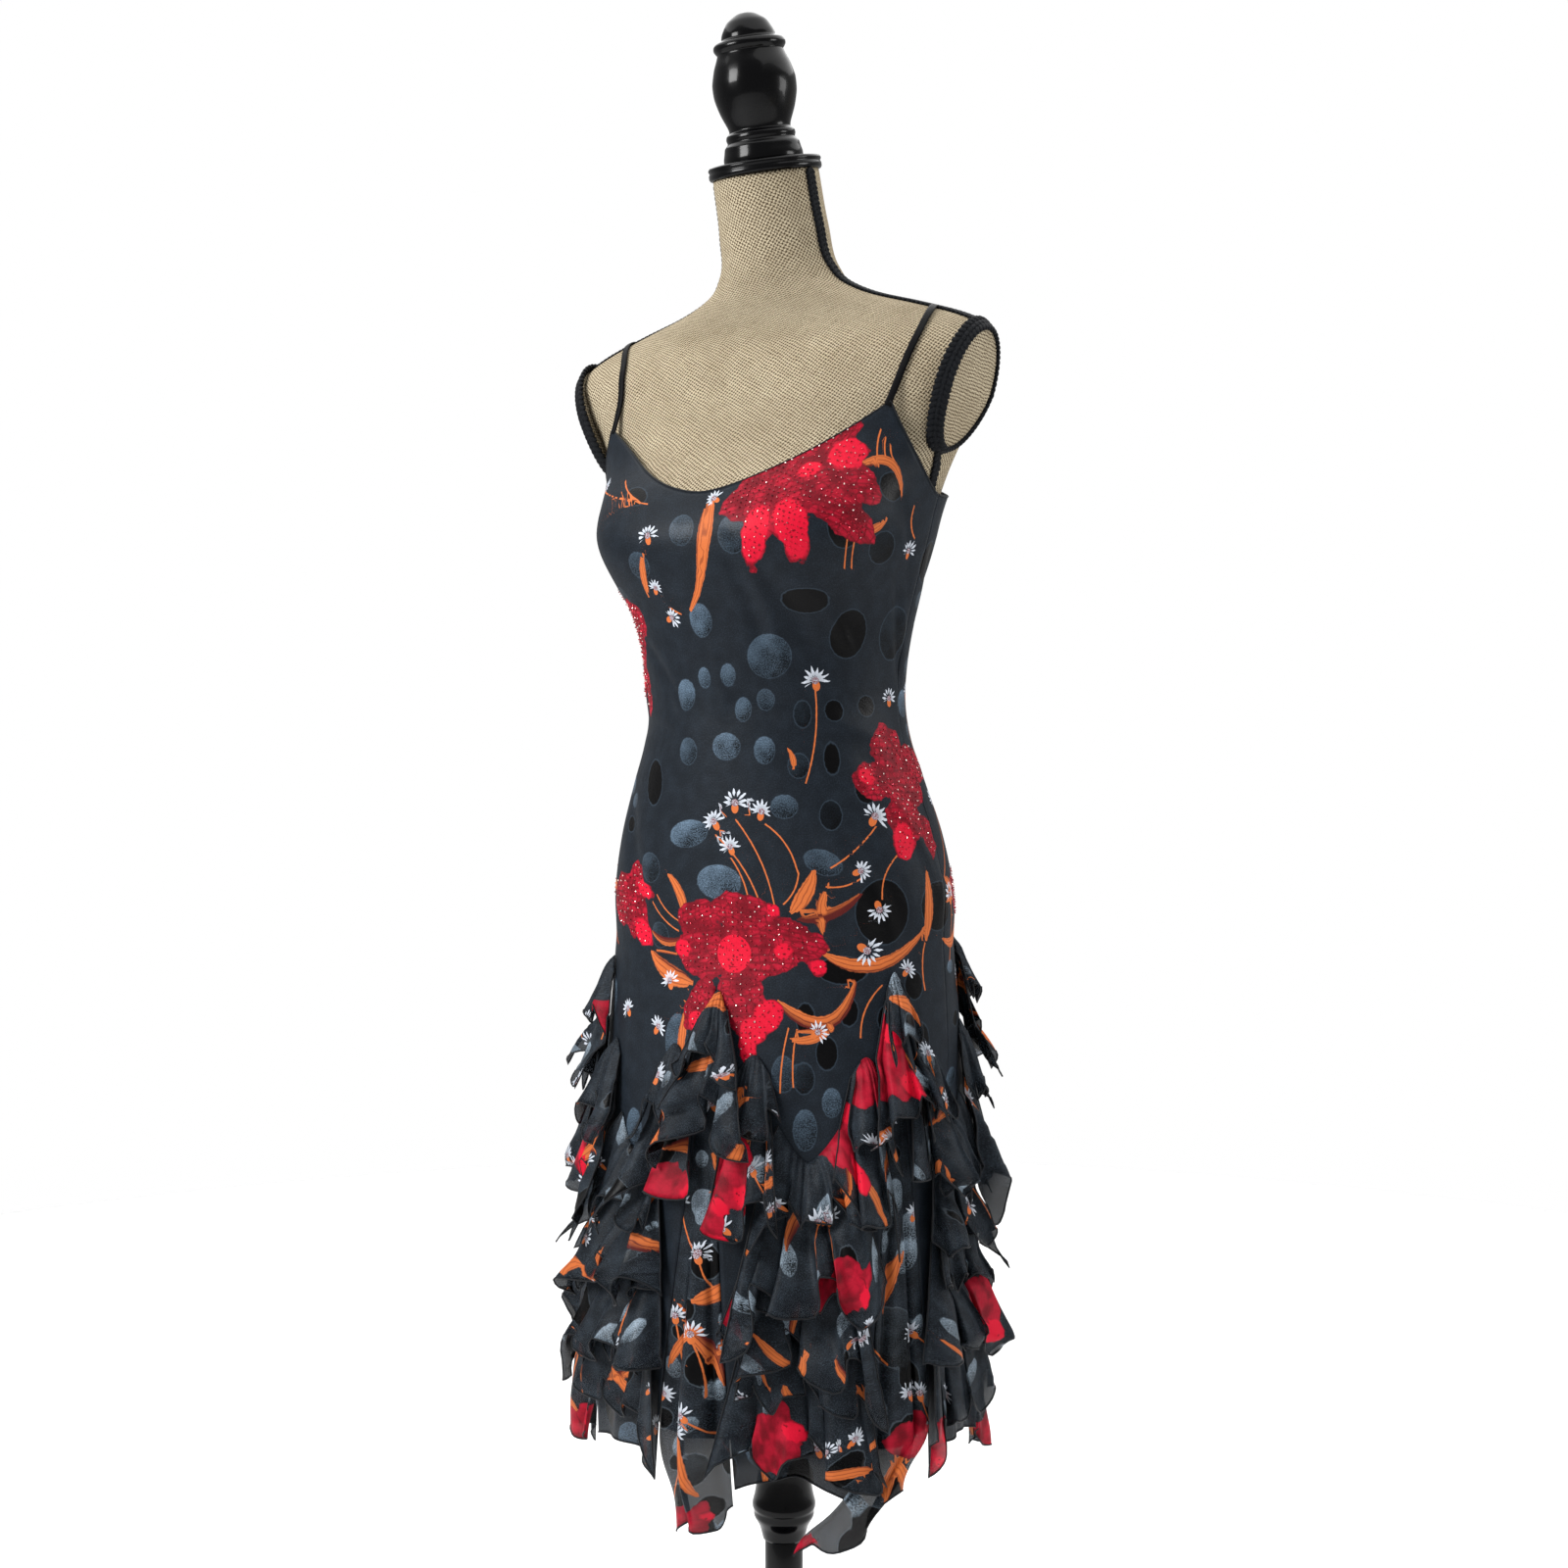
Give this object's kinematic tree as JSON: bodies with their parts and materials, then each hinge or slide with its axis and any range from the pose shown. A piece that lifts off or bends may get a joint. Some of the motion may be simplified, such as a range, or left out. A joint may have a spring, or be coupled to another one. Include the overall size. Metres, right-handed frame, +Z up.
{
  "type": "slip dress on dress form",
  "caption": "Bias-cut slip dress with thin straps, hip godets and pointed tiers of flounces, on an armless padded dress form with a turned finial and a round stand.",
  "frame": {"origin": "centre of the stand's flat underside, on the floor", "axes": "+Z up; the form faces -Y; +X is the form's own left"},
  "size_m": [0.4064, 0.3751, 1.6665],
  "materials": {
    "body_silk": "matt silk with satin burnt-out ovals",
    "flounce_chiffon": "sheer crinkled chiffon",
    "lining": "plain dark lining",
    "strap_satin": "satin",
    "form_burlap": "coarse open weave",
    "black_lacquer": "glossy black lacquer"
  },
  "bodies": {
    "root": {"arm_end_left": "form_burlap", "arm_end_right": "form_burlap", "back_body": "body_silk", "flounce_left_1": "flounce_chiffon", "flounce_left_2": "flounce_chiffon", "flounce_left_3": "flounce_chiffon", "flounce_left_4": "flounce_chiffon", "flounce_left_5": "flounce_chiffon", "flounce_left_6": "flounce_chiffon", "flounce_lower_1": "flounce_chiffon", "flounce_lower_2": "flounce_chiffon", "flounce_lower_3": "flounce_chiffon", "flounce_lower_4": "flounce_chiffon", "flounce_lower_5": "flounce_chiffon", "flounce_lower_6": "flounce_chiffon", "flounce_middle_1": "flounce_chiffon", "flounce_middle_2": "flounce_chiffon", "flounce_middle_3": "flounce_chiffon", "flounce_middle_4": "flounce_chiffon", "flounce_middle_5": "flounce_chiffon", "flounce_middle_6": "flounce_chiffon", "flounce_right_1": "flounce_chiffon", "flounce_right_2": "flounce_chiffon", "flounce_right_3": "flounce_chiffon", "flounce_right_4": "flounce_chiffon", "flounce_right_5": "flounce_chiffon", "flounce_right_6": "flounce_chiffon", "flounce_tip_1": "flounce_chiffon", "flounce_tip_2": "flounce_chiffon", "flounce_tip_3": "flounce_chiffon", "flounce_tip_4": "flounce_chiffon", "flounce_tip_5": "flounce_chiffon", "flounce_tip_6": "flounce_chiffon", "flounce_upper_1": "flounce_chiffon", "flounce_upper_2": "flounce_chiffon", "flounce_upper_3": "flounce_chiffon", "flounce_upper_4": "flounce_chiffon", "flounce_upper_5": "flounce_chiffon", "flounce_upper_6": "flounce_chiffon", "form_torso": "form_burlap", "front_body": "body_silk", "godet_1": "flounce_chiffon", "godet_2": "flounce_chiffon", "godet_3": "flounce_chiffon", "godet_4": "flounce_chiffon", "godet_5": "flounce_chiffon", "godet_6": "flounce_chiffon", "lining_skirt": "lining", "neck_disc": "black_lacquer", "neck_finial": "black_lacquer", "stand_base": "black_lacquer", "stand_collar": "black_lacquer", "stand_post_lower": "black_lacquer", "stand_post_upper": "black_lacquer", "strap_left": "strap_satin", "strap_right": "strap_satin"}
  },
  "joints": []
}
